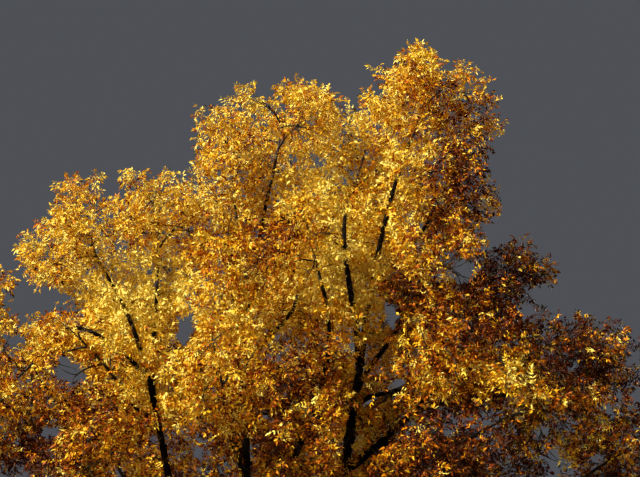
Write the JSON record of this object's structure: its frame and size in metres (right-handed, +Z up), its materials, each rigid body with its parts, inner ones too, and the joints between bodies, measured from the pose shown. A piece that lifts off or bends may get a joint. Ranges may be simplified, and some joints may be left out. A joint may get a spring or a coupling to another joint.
{
  "type": "bitternut hickory tree",
  "caption": "Large broadleaf tree in golden autumn leaf: a flared trunk that forks low into upright stems and boughs, with rounded masses of leaves.",
  "frame": {"origin": "middle of the flat cut under the trunk, at ground level", "axes": "+Z up the trunk, -Y towards the side that the picture shows, +X to that view's right"},
  "size_m": [19.1086, 14.0087, 21.7699],
  "materials": {
    "bark": "ridged grey-brown bark",
    "leaves_gold": "golden autumn leaves",
    "leaves_amber": "amber autumn leaves",
    "leaves_bronze": "bronze autumn leaves"
  },
  "bodies": {
    "root": {"bough_back_left": "bark", "bough_back_low_left": "bark", "bough_back_low_right": "bark", "bough_back_middle": "bark", "bough_back_right": "bark", "bough_back_top": "bark", "bough_centre_left": "bark", "bough_centre_right": "bark", "bough_far_right": "bark", "bough_left_front": "bark", "bough_left_low": "bark", "bough_left_mid": "bark", "bough_left_shoulder": "bark", "bough_low_centre": "bark", "bough_main_right": "bark", "bough_mid_left": "bark", "bough_right_far": "bark", "bough_right_front": "bark", "bough_right_low": "bark", "bough_right_mid": "bark", "bough_right_upper": "bark", "bough_saddle": "bark", "bough_skirt_back": "bark", "bough_skirt_left": "bark", "bough_upper_left": "bark", "leaves_back_left": "leaves_amber", "leaves_back_low_left": "leaves_amber", "leaves_back_low_right": "leaves_bronze", "leaves_back_middle": "leaves_amber", "leaves_back_right": "leaves_bronze", "leaves_back_top": "leaves_amber", "leaves_centre_left": "leaves_gold", "leaves_centre_right": "leaves_amber", "leaves_far_right": "leaves_bronze", "leaves_front": "leaves_gold", "leaves_left": "leaves_gold", "leaves_left_front": "leaves_amber", "leaves_left_low": "leaves_amber", "leaves_left_mid": "leaves_gold", "leaves_left_shoulder": "leaves_gold", "leaves_low_centre": "leaves_amber", "leaves_main_right": "leaves_bronze", "leaves_mid_left": "leaves_gold", "leaves_middle": "leaves_gold", "leaves_right": "leaves_gold", "leaves_right_far": "leaves_bronze", "leaves_right_front": "leaves_amber", "leaves_right_low": "leaves_bronze", "leaves_right_mid": "leaves_amber", "leaves_right_upper": "leaves_amber", "leaves_saddle": "leaves_gold", "leaves_skirt_back": "leaves_amber", "leaves_skirt_left": "leaves_amber", "leaves_upper_left": "leaves_gold", "stem_front": "bark", "stem_left": "bark", "stem_middle": "bark", "stem_right": "bark", "trunk": "bark"}
  },
  "joints": []
}
